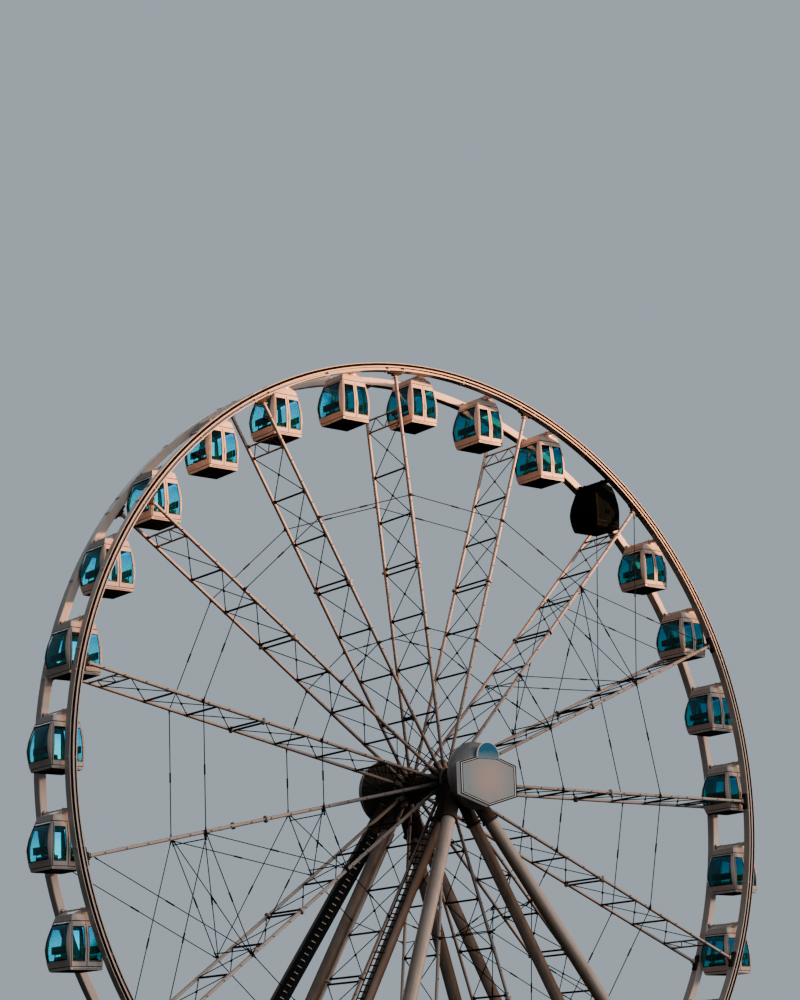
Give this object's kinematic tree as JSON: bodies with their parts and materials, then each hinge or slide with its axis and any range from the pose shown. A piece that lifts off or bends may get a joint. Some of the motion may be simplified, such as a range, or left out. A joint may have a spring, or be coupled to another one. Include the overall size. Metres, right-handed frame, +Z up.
{
  "type": "ferris wheel",
  "caption": "Large transportable observation wheel with enclosed glazed cabins that stay level, hung between two rims on a pair of four-legged towers.",
  "frame": {"origin": "on the ground, below the middle of the axle", "axes": "+Z up, +X to the right across the wheel, +Y along the axle away from the front, which faces -Y"},
  "size_m": [37.736, 17.26, 39.8063],
  "materials": {
    "rim_paint": "satin white paint on box section, weathered at the joints",
    "spoke_paint": "satin white paint on round tube",
    "tower_paint": "satin off-white paint on large round tube",
    "hub_paint": "dark grey paint on cast and welded steel",
    "cable_steel": "galvanised wire rope",
    "cabin_white": "glossy white moulded shell",
    "cabin_black": "glossy black moulded shell",
    "cabin_glass": "blue tinted safety glass",
    "cover_skin": "satin light grey sheet skin",
    "deck_steel": "grey painted and galvanised steel"
  },
  "bodies": {
    "stand": {"front_tower": "tower_paint", "back_tower": "tower_paint", "front_hub_cover": "cover_skin", "back_hub_cover": "cover_skin", "ground_frame": "tower_paint", "boarding_deck": "deck_steel", "left_drive_stand": "deck_steel", "right_drive_stand": "deck_steel"},
    "wheel": {"hub": "hub_paint", "front_rim": "rim_paint", "back_rim": "rim_paint", "front_outer_cable_ring": "cable_steel", "front_inner_cable_ring": "cable_steel", "back_outer_cable_ring": "cable_steel", "back_inner_cable_ring": "cable_steel", "spoke_01": "spoke_paint", "spoke_02": "spoke_paint", "spoke_03": "spoke_paint", "spoke_04": "spoke_paint", "spoke_05": "spoke_paint", "spoke_06": "spoke_paint", "spoke_07": "spoke_paint", "spoke_08": "spoke_paint", "spoke_09": "spoke_paint", "spoke_10": "spoke_paint", "spoke_11": "spoke_paint", "spoke_12": "spoke_paint", "spoke_13": "spoke_paint", "spoke_14": "spoke_paint", "spoke_15": "spoke_paint"},
    "cabin_body_01": {"cabin_01": "cabin_white"},
    "cabin_body_02": {"cabin_02": "cabin_white"},
    "cabin_body_03": {"cabin_03": "cabin_white"},
    "cabin_body_04": {"cabin_04": "cabin_black"},
    "cabin_body_05": {"cabin_05": "cabin_white"},
    "cabin_body_06": {"cabin_06": "cabin_white"},
    "cabin_body_07": {"cabin_07": "cabin_white"},
    "cabin_body_08": {"cabin_08": "cabin_white"},
    "cabin_body_09": {"cabin_09": "cabin_white"},
    "cabin_body_10": {"cabin_10": "cabin_white"},
    "cabin_body_11": {"cabin_11": "cabin_white"},
    "cabin_body_12": {"cabin_12": "cabin_white"},
    "cabin_body_13": {"cabin_13": "cabin_white"},
    "cabin_body_14": {"cabin_14": "cabin_white"},
    "cabin_body_15": {"cabin_15": "cabin_white"},
    "cabin_body_16": {"cabin_16": "cabin_white"},
    "cabin_body_17": {"cabin_17": "cabin_white"},
    "cabin_body_18": {"cabin_18": "cabin_white"},
    "cabin_body_19": {"cabin_19": "cabin_white"},
    "cabin_body_20": {"cabin_20": "cabin_white"},
    "cabin_body_21": {"cabin_21": "cabin_white"},
    "cabin_body_22": {"cabin_22": "cabin_white"},
    "cabin_body_23": {"cabin_23": "cabin_white"},
    "cabin_body_24": {"cabin_24": "cabin_white"},
    "cabin_body_25": {"cabin_25": "cabin_white"},
    "cabin_body_26": {"cabin_26": "cabin_white"},
    "cabin_body_27": {"cabin_27": "cabin_white"},
    "cabin_body_28": {"cabin_28": "cabin_white"},
    "cabin_body_29": {"cabin_29": "cabin_white"},
    "cabin_body_30": {"cabin_30": "cabin_white"}
  },
  "joints": [
    {"name": "wheel_spin", "type": "hinge", "parent": "stand", "child": "wheel", "pos_m": [0, 0, 21.4], "axis": [0, 1, 0], "continuous": true},
    {"name": "cabin_level_01", "type": "hinge", "parent": "wheel", "child": "cabin_body_01", "pos_m": [-0.1273, 0, 39.63456], "axis": [0, 1, 0], "continuous": true},
    {"name": "cabin_level_02", "type": "hinge", "parent": "wheel", "child": "cabin_body_02", "pos_m": [3.66666, 0, 39.26255], "axis": [0, 1, 0], "continuous": true},
    {"name": "cabin_level_03", "type": "hinge", "parent": "wheel", "child": "cabin_body_03", "pos_m": [7.30037, 0, 38.10987], "axis": [0, 1, 0], "continuous": true},
    {"name": "cabin_level_04", "type": "hinge", "parent": "wheel", "child": "cabin_body_04", "pos_m": [10.61501, 0, 36.22689], "axis": [0, 1, 0], "continuous": true},
    {"name": "cabin_level_05", "type": "hinge", "parent": "wheel", "child": "cabin_body_05", "pos_m": [13.46573, 0, 33.6959], "axis": [0, 1, 0], "continuous": true},
    {"name": "cabin_level_06", "type": "hinge", "parent": "wheel", "child": "cabin_body_06", "pos_m": [15.72794, 0, 30.62753], "axis": [0, 1, 0], "continuous": true},
    {"name": "cabin_level_07", "type": "hinge", "parent": "wheel", "child": "cabin_body_07", "pos_m": [17.30275, 0, 27.15586], "axis": [0, 1, 0], "continuous": true},
    {"name": "cabin_level_08", "type": "hinge", "parent": "wheel", "child": "cabin_body_08", "pos_m": [18.12136, 0, 23.43264], "axis": [0, 1, 0], "continuous": true},
    {"name": "cabin_level_09", "type": "hinge", "parent": "wheel", "child": "cabin_body_09", "pos_m": [18.14797, 0, 19.62058], "axis": [0, 1, 0], "continuous": true},
    {"name": "cabin_level_10", "type": "hinge", "parent": "wheel", "child": "cabin_body_10", "pos_m": [17.38143, 0, 15.88629], "axis": [0, 1, 0], "continuous": true},
    {"name": "cabin_level_11", "type": "hinge", "parent": "wheel", "child": "cabin_body_11", "pos_m": [15.85524, 0, 12.39297], "axis": [0, 1, 0], "continuous": true},
    {"name": "cabin_level_12", "type": "hinge", "parent": "wheel", "child": "cabin_body_12", "pos_m": [13.6361, 0, 9.29331], "axis": [0, 1, 0], "continuous": true},
    {"name": "cabin_level_13", "type": "hinge", "parent": "wheel", "child": "cabin_body_13", "pos_m": [10.82099, 0, 6.72276], "axis": [0, 1, 0], "continuous": true},
    {"name": "cabin_level_14", "type": "hinge", "parent": "wheel", "child": "cabin_body_14", "pos_m": [7.53296, 0, 4.79368], "axis": [0, 1, 0], "continuous": true},
    {"name": "cabin_level_15", "type": "hinge", "parent": "wheel", "child": "cabin_body_15", "pos_m": [3.9157, 0, 3.59038], "axis": [0, 1, 0], "continuous": true},
    {"name": "cabin_level_16", "type": "hinge", "parent": "wheel", "child": "cabin_body_16", "pos_m": [0.1273, 0, 3.16544], "axis": [0, 1, 0], "continuous": true},
    {"name": "cabin_level_17", "type": "hinge", "parent": "wheel", "child": "cabin_body_17", "pos_m": [-3.66666, 0, 3.53744], "axis": [0, 1, 0], "continuous": true},
    {"name": "cabin_level_18", "type": "hinge", "parent": "wheel", "child": "cabin_body_18", "pos_m": [-7.30037, 0, 4.69013], "axis": [0, 1, 0], "continuous": true},
    {"name": "cabin_level_19", "type": "hinge", "parent": "wheel", "child": "cabin_body_19", "pos_m": [-10.61501, 0, 6.57311], "axis": [0, 1, 0], "continuous": true},
    {"name": "cabin_level_20", "type": "hinge", "parent": "wheel", "child": "cabin_body_20", "pos_m": [-13.46573, 0, 9.1041], "axis": [0, 1, 0], "continuous": true},
    {"name": "cabin_level_21", "type": "hinge", "parent": "wheel", "child": "cabin_body_21", "pos_m": [-15.72794, 0, 12.17247], "axis": [0, 1, 0], "continuous": true},
    {"name": "cabin_level_22", "type": "hinge", "parent": "wheel", "child": "cabin_body_22", "pos_m": [-17.30275, 0, 15.64414], "axis": [0, 1, 0], "continuous": true},
    {"name": "cabin_level_23", "type": "hinge", "parent": "wheel", "child": "cabin_body_23", "pos_m": [-18.12136, 0, 19.36736], "axis": [0, 1, 0], "continuous": true},
    {"name": "cabin_level_24", "type": "hinge", "parent": "wheel", "child": "cabin_body_24", "pos_m": [-18.14797, 0, 23.17942], "axis": [0, 1, 0], "continuous": true},
    {"name": "cabin_level_25", "type": "hinge", "parent": "wheel", "child": "cabin_body_25", "pos_m": [-17.38143, 0, 26.91371], "axis": [0, 1, 0], "continuous": true},
    {"name": "cabin_level_26", "type": "hinge", "parent": "wheel", "child": "cabin_body_26", "pos_m": [-15.85524, 0, 30.40703], "axis": [0, 1, 0], "continuous": true},
    {"name": "cabin_level_27", "type": "hinge", "parent": "wheel", "child": "cabin_body_27", "pos_m": [-13.6361, 0, 33.50669], "axis": [0, 1, 0], "continuous": true},
    {"name": "cabin_level_28", "type": "hinge", "parent": "wheel", "child": "cabin_body_28", "pos_m": [-10.82099, 0, 36.07724], "axis": [0, 1, 0], "continuous": true},
    {"name": "cabin_level_29", "type": "hinge", "parent": "wheel", "child": "cabin_body_29", "pos_m": [-7.53296, 0, 38.00632], "axis": [0, 1, 0], "continuous": true},
    {"name": "cabin_level_30", "type": "hinge", "parent": "wheel", "child": "cabin_body_30", "pos_m": [-3.9157, 0, 39.20962], "axis": [0, 1, 0], "continuous": true}
  ],
  "couplings": [
    {"joint": "cabin_level_01", "follows": "wheel_spin", "ratio": -1},
    {"joint": "cabin_level_02", "follows": "wheel_spin", "ratio": -1},
    {"joint": "cabin_level_03", "follows": "wheel_spin", "ratio": -1},
    {"joint": "cabin_level_04", "follows": "wheel_spin", "ratio": -1},
    {"joint": "cabin_level_05", "follows": "wheel_spin", "ratio": -1},
    {"joint": "cabin_level_06", "follows": "wheel_spin", "ratio": -1},
    {"joint": "cabin_level_07", "follows": "wheel_spin", "ratio": -1},
    {"joint": "cabin_level_08", "follows": "wheel_spin", "ratio": -1},
    {"joint": "cabin_level_09", "follows": "wheel_spin", "ratio": -1},
    {"joint": "cabin_level_10", "follows": "wheel_spin", "ratio": -1},
    {"joint": "cabin_level_11", "follows": "wheel_spin", "ratio": -1},
    {"joint": "cabin_level_12", "follows": "wheel_spin", "ratio": -1},
    {"joint": "cabin_level_13", "follows": "wheel_spin", "ratio": -1},
    {"joint": "cabin_level_14", "follows": "wheel_spin", "ratio": -1},
    {"joint": "cabin_level_15", "follows": "wheel_spin", "ratio": -1},
    {"joint": "cabin_level_16", "follows": "wheel_spin", "ratio": -1},
    {"joint": "cabin_level_17", "follows": "wheel_spin", "ratio": -1},
    {"joint": "cabin_level_18", "follows": "wheel_spin", "ratio": -1},
    {"joint": "cabin_level_19", "follows": "wheel_spin", "ratio": -1},
    {"joint": "cabin_level_20", "follows": "wheel_spin", "ratio": -1},
    {"joint": "cabin_level_21", "follows": "wheel_spin", "ratio": -1},
    {"joint": "cabin_level_22", "follows": "wheel_spin", "ratio": -1},
    {"joint": "cabin_level_23", "follows": "wheel_spin", "ratio": -1},
    {"joint": "cabin_level_24", "follows": "wheel_spin", "ratio": -1},
    {"joint": "cabin_level_25", "follows": "wheel_spin", "ratio": -1},
    {"joint": "cabin_level_26", "follows": "wheel_spin", "ratio": -1},
    {"joint": "cabin_level_27", "follows": "wheel_spin", "ratio": -1},
    {"joint": "cabin_level_28", "follows": "wheel_spin", "ratio": -1},
    {"joint": "cabin_level_29", "follows": "wheel_spin", "ratio": -1},
    {"joint": "cabin_level_30", "follows": "wheel_spin", "ratio": -1}
  ]
}
